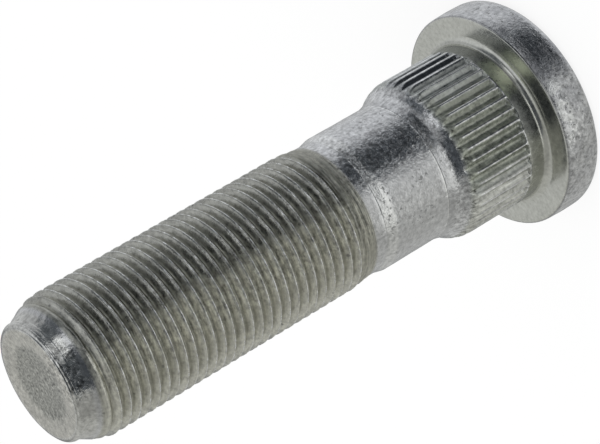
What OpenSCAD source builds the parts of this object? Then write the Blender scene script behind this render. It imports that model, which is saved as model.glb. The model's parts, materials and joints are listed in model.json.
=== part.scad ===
// Press-in wheel stud: round head, serrated shank, plain neck and a
// full-diameter thread envelope with a dished nose.
// The stud stands on the outer face of its head at z = 0, tip up.
// Lengths are in millimetres, angles in degrees.

/* [Head] */
// Diameter of the round head at the middle of its rim
head_d = 31.4; // [28:0.2:36]
// Thickness of the head
head_h = 6; // [4.5:0.1:9]
// How far the middle of the forged rim stands out past its ends
head_bulge = 0.12; // [0.05:0.01:0.3]
// Radius of the rounded edge around the outer face
head_edge_r = 1.3; // [0.5:0.1:1.8]
// Radius of the small round between the rim and the seat
head_rim_r = 0.35; // [0.15:0.05:0.6]

/* [Serrated shank] */
// Diameter over the serrations
serrated_d = 23.3; // [22:0.1:25]
// Distance from the seat to the end of the full serrated diameter
serrated_end = 11.5; // [9:0.5:15]
// Plain band between the seat and the serrations
plain_band_h = 3.1; // [2:0.1:5]
// Radius of the fillet between the shank and the seat
seat_fillet_r = 1; // [0.4:0.1:1.5]
// Number of serrations around the shank
serration_count = 42; // [36:1:48]
// Depth of each serration groove
serration_depth = 0.72; // [0.4:0.02:0.8]
// Angle between the groove's two flanks
serration_angle = 90; // [60:2:96]
// Radius of the rounded bottom of the groove
serration_r = 0.15; // [0.08:0.01:0.3]

/* [Shoulder and neck] */
// Slope of the shoulder against the stud's axis
shoulder_angle = 34; // [26:1:40]
// Radius of the hollow blend between the neck's taper and the shoulder
shoulder_foot_r = 3.2; // [1:0.1:5]
// Radius of the blend from the shoulder onto the serrated shank
shoulder_crest_r = 3.7; // [1:0.1:5]
// Slope of the gentle taper in which the neck widens towards the shoulder
taper_angle = 13.5; // [8:0.5:20]
// How much the radius grows over that taper
taper_step = 0.5; // [0.2:0.05:0.7]
// Diameter of the plain neck
neck_d = 19.85; // [19:0.05:20.4]
// Distance from the seat to the end of the plain neck
neck_end = 25.8; // [24:0.2:34]

/* [Thread relief] */
// Depth of the relief below the neck, which is the blank left by thread rolling
relief_depth = 0.36; // [0.2:0.02:0.6]
// Slope of the relief's wall on the neck side
relief_angle = 14; // [8:1:40]
// Length of the relief's floor
relief_floor = 1.4; // [0.6:0.1:3]

/* [Thread] */
// Nominal diameter of the metric fine thread
thread_d = 20; // [18:0.5:22]
// Pitch of the thread, which sets how long its run-out is
thread_pitch = 1.5; // [1:0.25:2]
// Run-out from the relief up to the full thread, in pitches
runout_turns = 2; // [1:0.25:3]
// Length of the stud below its head, seat to tip
shank_length = 76; // [60:1:110]

/* [Nose] */
// Diameter of the nose beyond the thread
nose_d = 16.6; // [14:0.1:17]
// Length of the cylindrical nose
nose_h = 1.15; // [0.8:0.05:3]
// Radius of the rounded edge around the end face
nose_edge_r = 0.6; // [0.2:0.05:0.75]
// Slope of the lead chamfer against the stud's axis
chamfer_angle = 27.5; // [20:0.5:45]
// Slope of the gentler lead over which the first threads reach their full diameter
lead_angle = 19.3; // [10:0.1:26]
// How much the radius grows over that lead
lead_step = 0.63; // [0.2:0.01:0.7]
// Width of the flat ring left around the dished end
dish_ring = 0.8; // [0.4:0.1:2]
// Depth of the dished end face
dish_depth = 0.45; // [0.2:0.05:1]

/* [Hidden] */

// How far a cutting shape reaches past the solid it cuts
overcut = 1;
// Largest share of a slope's length that the blends at its ends may take up
blend_share = 0.95;
// Segments around the stud, and around each groove
around_fn = 180;
groove_fn = 36;

head_r = head_d / 2;
shank_r = serrated_d / 2;
neck_r = neck_d / 2;
relief_r = neck_r - relief_depth;
thread_r = thread_d / 2;
nose_r = nose_d / 2;
lead_r = thread_r - lead_step;

// Heights above the outer face of the head
seat_z = head_h;
band_z = seat_z + plain_band_h;
crest_z = seat_z + serrated_end;
neck_end_z = seat_z + neck_end;
tip_z = seat_z + shank_length;

// The forged rim is an arc with its middle at half the head's thickness
rim_arc_r = (pow(head_h / 2, 2) + pow(head_bulge, 2)) / (2 * head_bulge);

// The shoulder: the neck's gentle taper, then a steep slope up to the shank, with a
// hollow blend between them and a round one at the shank. The blends shrink together
// where a slope is too short for them.
slope_step = shank_r - neck_r - taper_step;
slope_length = slope_step / sin(shoulder_angle);
taper_length = taper_step / sin(taper_angle);
crest_share = tan(shoulder_angle / 2);
foot_share = tan((shoulder_angle - taper_angle) / 2);
foot_length = shoulder_foot_r * foot_share;
crest_length = shoulder_crest_r * crest_share;
blend_scale = min(
    1,
    blend_share * slope_length / (foot_length + crest_length),
    blend_share * taper_length / foot_length
);
foot_r = shoulder_foot_r * blend_scale;
top_r = shoulder_crest_r * blend_scale;

// Heights of the shoulder's three corners, at the shank, between the slopes and at the neck
slope_z = crest_z + top_r * crest_share;
taper_z = slope_z + slope_step / tan(shoulder_angle);
foot_z = taper_z + taper_step / tan(taper_angle);

// The relief and the thread's run-out
relief_start_z = neck_end_z + relief_depth / tan(relief_angle);
relief_end_z = relief_start_z + relief_floor;
thread_start_z = relief_end_z + runout_turns * thread_pitch;

// The nose, its lead chamfer and the sphere that dishes its end
nose_z = tip_z - nose_h;
lead_z = nose_z - (lead_r - nose_r) / tan(chamfer_angle);
thread_end_z = lead_z - lead_step / tan(lead_angle);
dish_r = nose_r - nose_edge_r - dish_ring;
dish_sphere_r = (pow(dish_r, 2) + pow(dish_depth, 2)) / (2 * dish_depth);

// What is left between a corner and the round that is tangent to both its sides. It
// reaches past the corner, into the metal that it fills or out of the metal that it cuts,
// so that no sliver stays along the sides.
module corner_rest(side_a, corner, side_b, centre, r) {
    past = corner + overcut * (corner - centre) / norm(corner - centre);
    difference() {
        polygon([side_a, past, side_b]);
        translate(centre) circle(r, $fn = around_fn);
    }
}

// Half section of the head: a slab whose rim follows the forged arc
module head_section() {
    intersection() {
        square([head_r + overcut, head_h]);
        translate([head_r - rim_arc_r, head_h / 2]) circle(rim_arc_r, $fn = 4 * around_fn);
    }
}

// What the round at one edge of the rim takes away, drawn for the edge at z = 0.
// The round is tangent to the outer face and to the arc of the rim.
module rim_edge_waste(r) {
    half_h = head_h / 2;
    centre_x = head_r - rim_arc_r + sqrt(pow(rim_arc_r - r, 2) - pow(half_h - r, 2));
    tangent_z = half_h - rim_arc_r * (half_h - r) / (rim_arc_r - r);
    difference() {
        translate([centre_x, -overcut]) square([r + overcut, tangent_z + overcut]);
        translate([centre_x, r]) circle(r, $fn = around_fn);
    }
}

// Half section of everything above the seat, with straight sides and sharp corners
module shank_outline() {
    polygon([
        [0, 0],
        [shank_r, 0],
        [shank_r, slope_z],
        [neck_r + taper_step, taper_z],
        [neck_r, foot_z],
        [neck_r, neck_end_z],
        [relief_r, relief_start_z],
        [relief_r, relief_end_z],
        [thread_r, thread_start_z],
        [thread_r, thread_end_z],
        [lead_r, lead_z],
        [nose_r, nose_z],
        [nose_r, tip_z],
        [0, tip_z]
    ]);
}

// Fillet in the corner between the shank and the seat
module seat_fillet() {
    corner_rest(
        [shank_r, seat_z + seat_fillet_r],
        [shank_r, seat_z],
        [shank_r + seat_fillet_r, seat_z],
        [shank_r + seat_fillet_r, seat_z + seat_fillet_r],
        seat_fillet_r
    );
}

// Hollow blend that fills the corner between the neck's taper and the shoulder
module shoulder_foot() {
    corner = [neck_r + taper_step, taper_z];
    along_taper = foot_r * foot_share * [-sin(taper_angle), cos(taper_angle)];
    along_slope = foot_r * foot_share * [sin(shoulder_angle), -cos(shoulder_angle)];
    outward = foot_r * [cos(taper_angle), sin(taper_angle)];
    corner_rest(
        corner + along_taper,
        corner,
        corner + along_slope,
        corner + along_taper + outward,
        foot_r
    );
}

// What the blend onto the serrated shank takes off the shoulder's corner
module shoulder_crest_waste() {
    corner_rest(
        [shank_r, crest_z],
        [shank_r, slope_z],
        [shank_r - top_r * (1 - cos(shoulder_angle)), crest_z + top_r * sin(shoulder_angle)],
        [shank_r - top_r, crest_z],
        top_r
    );
}

// What the round at the nose and the dished end face take away
module nose_waste() {
    translate([nose_r - nose_edge_r, tip_z - nose_edge_r])
        difference() {
            square(nose_edge_r + overcut);
            circle(nose_edge_r, $fn = around_fn);
        }
    translate([0, tip_z - dish_depth + dish_sphere_r])
        circle(dish_sphere_r, $fn = 4 * around_fn);
}

// The whole turned and forged body before the serrations are rolled in
module blank() {
    rotate_extrude($fn = around_fn)
        difference() {
            union() {
                head_section();
                shank_outline();
                seat_fillet();
                shoulder_foot();
            }
            rim_edge_waste(head_edge_r);
            translate([0, head_h]) mirror([0, 1]) rim_edge_waste(head_rim_r);
            shoulder_crest_waste();
            nose_waste();
            translate([-2 * dish_sphere_r, 0]) square([2 * dish_sphere_r, 2 * tip_z]);
        }
}

// Section of a serration groove: two straight flanks that meet in a rounded bottom,
// drawn as far from the origin as the groove lies from the stud's axis
module groove_section() {
    half_angle = serration_angle / 2;
    bottom_x = shank_r - serration_depth + serration_r;
    flank_x = bottom_x - serration_r * sin(half_angle);
    flank_y = serration_r * cos(half_angle);
    outer_x = shank_r + overcut;
    outer_y = flank_y + (outer_x - flank_x) * tan(half_angle);
    polygon([[flank_x, -flank_y], [outer_x, -outer_y], [outer_x, outer_y], [flank_x, flank_y]]);
    translate([bottom_x, 0]) circle(serration_r, $fn = groove_fn);
}

// One serration: a groove that ends square at the plain band and runs out to a point
// where the shoulder falls away below its floor
module serration() {
    translate([0, 0, band_z])
        linear_extrude(height = foot_z - band_z)
            groove_section();
}

// The stud: one forging, with the serrations rolled around its shank
module wheel_stud() {
    color([0.62, 0.63, 0.64])
        difference() {
            blank();
            for (i = [0 : serration_count - 1])
                rotate([0, 0, i * 360 / serration_count])
                    serration();
        }
}

wheel_stud();
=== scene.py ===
"""Looks of a press-in wheel stud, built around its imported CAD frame.

The stud is one closed mesh. Its plain stretches are turned from a section, its thread
and its serrations are laid on by node trees, and one zinc finish covers all of it.
"""

import functools
import json
import logging
import math
import operator
from collections.abc import Mapping, Sequence
from dataclasses import dataclass
from enum import Enum
from typing import Any, Union

import bmesh
import bpy
from mathutils import Matrix, Vector


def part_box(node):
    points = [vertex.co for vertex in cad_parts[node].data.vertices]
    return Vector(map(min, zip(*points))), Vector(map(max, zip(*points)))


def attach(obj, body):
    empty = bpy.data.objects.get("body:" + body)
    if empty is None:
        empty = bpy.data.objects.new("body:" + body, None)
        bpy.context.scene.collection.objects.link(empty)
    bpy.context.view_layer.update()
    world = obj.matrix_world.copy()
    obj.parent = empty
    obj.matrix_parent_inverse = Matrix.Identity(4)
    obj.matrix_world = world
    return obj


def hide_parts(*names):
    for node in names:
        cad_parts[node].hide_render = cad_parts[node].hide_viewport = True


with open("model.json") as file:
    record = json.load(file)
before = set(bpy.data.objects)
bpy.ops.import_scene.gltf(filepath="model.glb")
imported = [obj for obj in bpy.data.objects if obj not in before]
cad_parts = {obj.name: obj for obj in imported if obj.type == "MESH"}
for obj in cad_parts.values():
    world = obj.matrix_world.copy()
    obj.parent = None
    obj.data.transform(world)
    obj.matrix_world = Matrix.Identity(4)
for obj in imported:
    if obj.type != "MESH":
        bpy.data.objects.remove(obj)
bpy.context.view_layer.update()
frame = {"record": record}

log = logging.getLogger("wheel_stud")

MM = 0.001
NODE = "wheel_stud"
BODY = "root"
WELD = 1e-6

Colour = tuple[float, float, float, float]
Point = tuple[float, float]
Ring = list[bmesh.types.BMVert]
Term = Union["Wire", float]


class Hand(Enum):
    """Which way a thread winds."""

    RIGHT = 1
    LEFT = -1


class Blend(Enum):
    """What a Mix node mixes, with the numbers of its Factor, A, B and result sockets."""

    FLOAT = (0, 2, 3, 0)
    RGBA = (0, 6, 7, 2)


class Wire:
    """One output socket of a node tree, which Python's operators can work on."""

    def __init__(self, sheet: "NodeSheet", socket: bpy.types.NodeSocket) -> None:
        """Keeps the socket and the sheet that it belongs to."""
        self.sheet = sheet
        self.socket = socket

    def _math(self, operation: str, *values: Term) -> "Wire":
        """Adds one Math node on these values."""
        sockets = dict(enumerate(values))
        return self.sheet.wire("ShaderNodeMath", {"operation": operation}, sockets)

    def __add__(self, other: Term) -> "Wire":
        """Sum."""
        return self._math("ADD", self, other)

    __radd__ = __add__

    def __sub__(self, other: Term) -> "Wire":
        """Difference."""
        return self._math("SUBTRACT", self, other)

    def __rsub__(self, other: Term) -> "Wire":
        """Difference, with this value taken away."""
        return self._math("SUBTRACT", other, self)

    def __mul__(self, other: Term) -> "Wire":
        """Product."""
        return self._math("MULTIPLY", self, other)

    __rmul__ = __mul__

    def __truediv__(self, other: Term) -> "Wire":
        """Quotient."""
        return self._math("DIVIDE", self, other)

    def __rtruediv__(self, other: Term) -> "Wire":
        """Quotient, with this value below the line."""
        return self._math("DIVIDE", other, self)

    def __neg__(self) -> "Wire":
        """Opposite."""
        return self._math("MULTIPLY", self, -1.0)

    def __abs__(self) -> "Wire":
        """Absolute value."""
        return self._math("ABSOLUTE", self)

    def floor(self) -> "Wire":
        """Whole part."""
        return self._math("FLOOR", self)

    def sqrt(self) -> "Wire":
        """Square root."""
        return self._math("SQRT", self)

    def sin(self) -> "Wire":
        """Sine of an angle in radians."""
        return self._math("SINE", self)

    def cos(self) -> "Wire":
        """Cosine of an angle in radians."""
        return self._math("COSINE", self)

    def atan2(self, other: Term) -> "Wire":
        """Angle of the point (other, self)."""
        return self._math("ARCTAN2", self, other)

    def least(self, other: Term) -> "Wire":
        """The smaller of the two."""
        return self._math("MINIMUM", self, other)

    def most(self, other: Term) -> "Wire":
        """The larger of the two."""
        return self._math("MAXIMUM", self, other)

    def clamp(self, low: float = 0.0, high: float = 1.0) -> "Wire":
        """This value, held between two limits."""
        return self.most(low).least(high)

    def ramp(self, low: float, high: float) -> "Wire":
        """Smooth step from 0 at low to 1 at high, or back down where low is the larger.

        Args:
            low: The value at which the result is 0.
            high: The value at which the result is 1.

        Returns:
            The smoothed step.
        """
        start, end, from_value, to_value = low, high, 0.0, 1.0
        if low > high:
            start, end, from_value, to_value = high, low, 1.0, 0.0
        settings = {"interpolation_type": "SMOOTHSTEP"}
        sockets = {0: self, 1: start, 2: end, 3: from_value, 4: to_value}
        return self.sheet.wire("ShaderNodeMapRange", settings, sockets)

    def within(self, low: float, high: float, soft: float) -> "Wire":
        """Mask that is 1 between two values and fades over a soft margin outside them."""
        return self.ramp(low - soft, low) * self.ramp(high + soft, high)


Value = Wire | float | int | Sequence[float]
Settings = Mapping[str, Any] | None
Sockets = Mapping[int | str, Value] | None


class NodeSheet:
    """A node tree that is written as Python expressions."""

    def __init__(self, tree: bpy.types.NodeTree) -> None:
        """Empties the tree and keeps it."""
        self.tree = tree
        tree.nodes.clear()

    def node(self, kind: str, settings: Settings = None, sockets: Sockets = None) -> bpy.types.Node:
        """Adds one node.

        Args:
            kind: The node's type.
            settings: The node's own properties, set before its sockets.
            sockets: Values or wires for its inputs, by number or name.

        Returns:
            The new node.
        """
        made = self.tree.nodes.new(kind)
        for name, value in (settings or {}).items():
            setattr(made, name, value)
        for key, value in (sockets or {}).items():
            if isinstance(value, Wire):
                self.tree.links.new(value.socket, made.inputs[key])
            else:
                made.inputs[key].default_value = value
        return made

    def wire(
        self, kind: str, settings: Settings = None, sockets: Sockets = None, output: int | str = 0
    ) -> Wire:
        """Adds one node, as node() does, and returns one of its outputs."""
        return Wire(self, self.node(kind, settings, sockets).outputs[output])

    def split(self, vector: Wire) -> tuple[Wire, Wire, Wire]:
        """The three parts of a vector."""
        made = self.node("ShaderNodeSeparateXYZ", sockets={0: vector})
        return tuple(Wire(self, made.outputs[axis]) for axis in range(3))

    def join(self, x: Value, y: Value, z: Value) -> Wire:
        """A vector from its three parts."""
        return self.wire("ShaderNodeCombineXYZ", sockets={0: x, 1: y, 2: z})

    def scaled(self, vector: Wire, factor: Value) -> Wire:
        """A vector times a number."""
        return self.wire("ShaderNodeVectorMath", {"operation": "SCALE"}, {0: vector, 3: factor})

    def mix(self, blend: Blend, factor: Value, a: Value, b: Value) -> Wire:
        """A blend from a to b.

        Args:
            blend: What is mixed.
            factor: 0 gives a and 1 gives b.
            a: The first value.
            b: The second value.

        Returns:
            The mixed value.
        """
        at_factor, at_a, at_b, at_result = blend.value
        sockets = {at_factor: factor, at_a: a, at_b: b}
        return self.wire("ShaderNodeMix", {"data_type": blend.name}, sockets, at_result)


class Place:
    """Where a point lies on the stud, as wires of a tree."""

    def __init__(self, sheet: NodeSheet, vector: Wire, unit: float) -> None:
        """Takes the place apart.

        Args:
            sheet: The tree.
            vector: The point's place.
            unit: A millimetre in the vector's own unit.
        """
        self.sheet, self.vector, self.unit = sheet, vector, unit
        self.x, self.y, self.z = sheet.split(vector)
        self.radius = (self.x * self.x + self.y * self.y).sqrt()

    def toward(self, bearing: float) -> Wire:
        """Cosine of the angle between the point and a bearing, in degrees from +X."""
        angle = math.radians(bearing)
        return (self.x * math.cos(angle) + self.y * math.sin(angle)) / self.radius


@dataclass(frozen=True)
class Stretch:
    """A stretch along the stud, in millimetres.

    It reaches from low to high and fades over soft past them. Where it has radii, it also
    grows from nothing at the first radius to its full strength at the second.
    """

    low: float
    high: float
    soft: float
    radii: Point | None = None

    def mask(self, place: Place) -> Wire:
        """Mask of the stretch.

        Args:
            place: The point that is looked at.

        Returns:
            The mask, from 0 to 1.
        """
        unit = place.unit
        mask = place.z.within(self.low * unit, self.high * unit, self.soft * unit)
        if self.radii:
            mask = mask * place.radius.ramp(self.radii[0] * unit, self.radii[1] * unit)
        return mask


def linked(name: str, data: bpy.types.ID) -> bpy.types.Object:
    """Makes an object of some data and puts it into the scene.

    Args:
        name: The object's name.
        data: Its mesh, lamp or camera.

    Returns:
        The object.
    """
    made = bpy.data.objects.new(name, data)
    bpy.context.scene.collection.objects.link(made)
    return made


class Modifier:
    """A Geometry Nodes tree with named inputs, used as a modifier on one object."""

    def __init__(self, name: str, part: Any, labels: Sequence[str]) -> None:
        """Makes the tree and its group sockets.

        Args:
            name: The tree's name.
            part: The sub-part that the tree works for.
            labels: The names of its sizes that become inputs of the tree.
        """
        self.tree = bpy.data.node_groups.new(name, "GeometryNodeTree")
        self.sheet = NodeSheet(self.tree)
        self.sizes = {label: getattr(part, label) for label in labels}
        face = self.tree.interface
        face.new_socket("Geometry", in_out="INPUT", socket_type="NodeSocketGeometry")
        self.keys: dict[str, str] = {}
        for label, value in self.sizes.items():
            kind = "NodeSocketInt" if isinstance(value, int) else "NodeSocketFloat"
            socket = face.new_socket(label, in_out="INPUT", socket_type=kind)
            self.keys[label] = socket.identifier
        face.new_socket("Geometry", in_out="OUTPUT", socket_type="NodeSocketGeometry")
        self.entry = self.sheet.node("NodeGroupInput")

    def size(self, label: str) -> Wire:
        """The wire of one named input."""
        return Wire(self.sheet, self.entry.outputs[label])

    def place(self) -> Place:
        """The place of each vertex, in metres."""
        return Place(self.sheet, self.sheet.wire("GeometryNodeInputPosition"), MM)

    def moved(self, geometry: Wire, x: Wire, y: Wire, z: Wire) -> Wire:
        """Some geometry with each of its vertices moved to x, y and z."""
        sockets = {"Geometry": geometry, "Position": self.sheet.join(x, y, z)}
        return self.sheet.wire("GeometryNodeSetPosition", sockets=sockets)

    def finish(self, geometry: Wire, material: bpy.types.Material) -> None:
        """Ends the tree in real geometry with its material.

        Args:
            geometry: What the tree has made.
            material: The stud's finish.
        """
        real = self.sheet.wire("GeometryNodeRealizeInstances", sockets={"Geometry": geometry})
        sockets = {"Geometry": real, "Material": material}
        dressed = self.sheet.wire("GeometryNodeSetMaterial", sockets=sockets)
        self.sheet.node("NodeGroupOutput", sockets={"Geometry": dressed})

    def baked(self, target: bpy.types.Object) -> bpy.types.Mesh:
        """Runs the tree on an object and keeps its result as a plain mesh.

        Args:
            target: The object that the tree works on. It is removed afterwards.

        Returns:
            The resulting mesh.
        """
        made = target.modifiers.new(self.tree.name, "NODES")
        made.node_group = self.tree
        for label, value in self.sizes.items():
            made[self.keys[label]] = value
        graph = bpy.context.evaluated_depsgraph_get()
        graph.update()
        mesh = bpy.data.meshes.new_from_object(target.evaluated_get(graph), depsgraph=graph)
        target.modifiers.remove(made)
        bpy.data.objects.remove(target)
        return mesh


def arc(centre: Point, radius: float, start: float, end: float, steps: int) -> list[Point]:
    """Points along an arc, both ends included.

    Args:
        centre: The arc's centre, as radius and height.
        radius: The arc's radius.
        start: The angle at which it starts, in degrees from the radial direction.
        end: The angle at which it ends.
        steps: How many stretches it is divided into.

    Returns:
        The points, as radius and height.
    """
    first, turn = math.radians(start), math.radians(end - start) / steps
    angles = [first + turn * i for i in range(steps + 1)]
    return [(centre[0] + radius * math.cos(t), centre[1] + radius * math.sin(t)) for t in angles]


def straight(start: Point, end: Point, steps: int) -> list[Point]:
    """Points along a straight line, both ends included."""
    (r, z), (dr, dz) = start, (end[0] - start[0], end[1] - start[1])
    return [(r + dr * i / steps, z + dz * i / steps) for i in range(steps + 1)]


def chained(*runs: list[Point]) -> list[Point]:
    """One outline from runs of points, each of which starts where the last one ended."""
    return runs[0] + [point for run in runs[1:] for point in run[1:]]


def even_angles(count: int) -> list[float]:
    """Angles of a ring with evenly spaced vertices."""
    return [math.tau * i / count for i in range(count)]


class Skin:
    """A surface of rings around the stud's axis, which becomes one closed mesh."""

    def __init__(self) -> None:
        """Starts with an empty mesh."""
        self.mesh = bmesh.new()

    def ring(self, at: Point, angles: Sequence[float], shift: Point = (0.0, 0.0)) -> Ring:
        """One ring of vertices.

        Args:
            at: The ring's radius and height.
            angles: The angle of each vertex, in radians.
            shift: How far its centre lies off the stud's axis, along X and Y.

        Returns:
            The ring's vertices in order.
        """
        (radius, height), (x, y) = at, shift
        places = [(x + radius * math.cos(t), y + radius * math.sin(t), height) for t in angles]
        return [self.mesh.verts.new(place) for place in places]

    def bridge(self, low: Ring, high: Ring) -> None:
        """Faces between two rings, of which one may have twice the other's vertices.

        Args:
            low: The ring that comes first along the outline.
            high: The ring that comes next.
        """
        if len(low) == len(high):
            for i, here in enumerate(low):
                j = (i + 1) % len(low)
                self.mesh.faces.new((here, low[j], high[j], high[i]))
            return
        turned = len(low) > len(high)
        coarse, fine = (high, low) if turned else (low, high)
        for i, here in enumerate(coarse):
            there = coarse[(i + 1) % len(coarse)]
            a, b, c = (fine[(2 * i + k) % len(fine)] for k in range(3))
            for face in ((here, b, a), (here, there, b), (there, c, b)):
                self.mesh.faces.new(face if turned else tuple(reversed(face)))

    def cap(self, ring: Ring, height: float, upward: bool) -> None:
        """Closes a ring with a fan to its centre.

        Args:
            ring: The ring's vertices.
            height: The height of the fan's middle.
            upward: True where the fan faces up.
        """
        middle = sum((vert.co for vert in ring), Vector()) / len(ring)
        pole = self.mesh.verts.new((middle.x, middle.y, height))
        for i, here in enumerate(ring):
            there = ring[(i + 1) % len(ring)]
            self.mesh.faces.new((here, there, pole) if upward else (there, here, pole))

    def rings(self, outline: Sequence[Point], angles: Sequence[float]) -> list[Ring]:
        """Rings along an outline, bridged in order.

        Args:
            outline: The radius and height of each ring.
            angles: The angles of a ring's vertices.

        Returns:
            The rings.
        """
        made = [self.ring(point, angles) for point in outline]
        for low, high in zip(made, made[1:]):
            self.bridge(low, high)
        return made

    def add(self, mesh: bpy.types.Mesh) -> None:
        """Takes in a finished mesh."""
        self.mesh.from_mesh(mesh)
        bpy.data.meshes.remove(mesh)

    def stored(self, name: str) -> bpy.types.Mesh:
        """Keeps the skin as it is in a new mesh.

        Args:
            name: The new mesh's name.

        Returns:
            The mesh.
        """
        mesh = bpy.data.meshes.new(name)
        self.mesh.to_mesh(mesh)
        self.mesh.free()
        return mesh

    def welded(self, name: str) -> bpy.types.Mesh:
        """Joins what meets, turns every face outward and reports edges that are open.

        Args:
            name: The new mesh's name.

        Returns:
            The mesh.
        """
        bmesh.ops.remove_doubles(self.mesh, verts=self.mesh.verts, dist=WELD)
        bmesh.ops.dissolve_degenerate(self.mesh, edges=self.mesh.edges, dist=WELD)
        bmesh.ops.recalc_face_normals(self.mesh, faces=self.mesh.faces)
        open_edges = sum(1 for edge in self.mesh.edges if not edge.is_manifold)
        log.info("%s: %d faces, %d open edges", name, len(self.mesh.faces), open_edges)
        return self.stored(name)


@dataclass(frozen=True)
class Places:
    """Heights and radii that the stud's stretches share, worked out from the frame."""

    tip_z: float
    seat_z: float
    head_r: float
    thread_r: float

    @staticmethod
    def read() -> "Places":
        """Reads them from the CAD box and the record's mounts.

        Returns:
            The shared places.
        """
        mounts = {mount["name"]: mount for mount in frame["record"]["mounts"]}
        low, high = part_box(NODE)
        return Places(
            tip_z=high.z,
            seat_z=mounts["seat"]["pos_m"][2],
            head_r=(high.x - low.x) / 2,
            thread_r=mounts["thread"]["dims"]["r_mm"] * MM,
        )


@dataclass
class Head:
    """The round head: a forged slab with a slightly bulged rim."""

    places: Places
    seat_edge_r: float = 12.65 * MM
    bulge: float = 0.12 * MM
    face_edge_r: float = 1.3 * MM
    rim_edge_r: float = 0.35 * MM
    seat_steps: int = 5
    rim_steps: int = 8
    edge_steps: int = 6
    face_steps: int = 8

    @property
    def half_h(self) -> float:
        """Half the head's thickness."""
        return self.places.seat_z / 2

    @property
    def rim_r(self) -> float:
        """Radius of the arc that the bulged rim follows."""
        return (self.half_h**2 + self.bulge**2) / (2 * self.bulge)

    def edge_arc(self, radius: float, top: bool) -> list[Point]:
        """The round between a flat face of the head and its rim.

        Args:
            radius: The round's radius.
            top: True for the edge at the seat, False for the one at the outer face.

        Returns:
            The round's points, from the flat face to the rim.
        """
        inset, reach = self.half_h - radius, self.rim_r - radius
        centre_r = self.places.head_r - self.rim_r + math.sqrt(reach**2 - inset**2)
        lean = math.degrees(math.asin(inset / reach))
        points = arc((centre_r, radius), radius, -90.0, -lean, self.edge_steps)
        if top:
            points = [(r, self.places.seat_z - z) for r, z in points]
        return points

    def outline(self) -> list[Point]:
        """Half section from near the pole of the outer face up and round to the seat.

        Returns:
            The outline's points.
        """
        outer = self.edge_arc(self.face_edge_r, top=False)
        inner = self.edge_arc(self.rim_edge_r, top=True)[::-1]
        ends = (outer[-1], inner[0])
        start, end = (math.degrees(math.asin((z - self.half_h) / self.rim_r)) for _, z in ends)
        centre = (self.places.head_r - self.rim_r, self.half_h)
        face = straight((outer[0][0] / self.face_steps, 0.0), outer[0], self.face_steps - 1)
        rim = arc(centre, self.rim_r, start, end, self.rim_steps)
        seat = straight(inner[-1], (self.seat_edge_r, self.places.seat_z), self.seat_steps)
        return chained(face, outer, rim, inner, seat)


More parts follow.
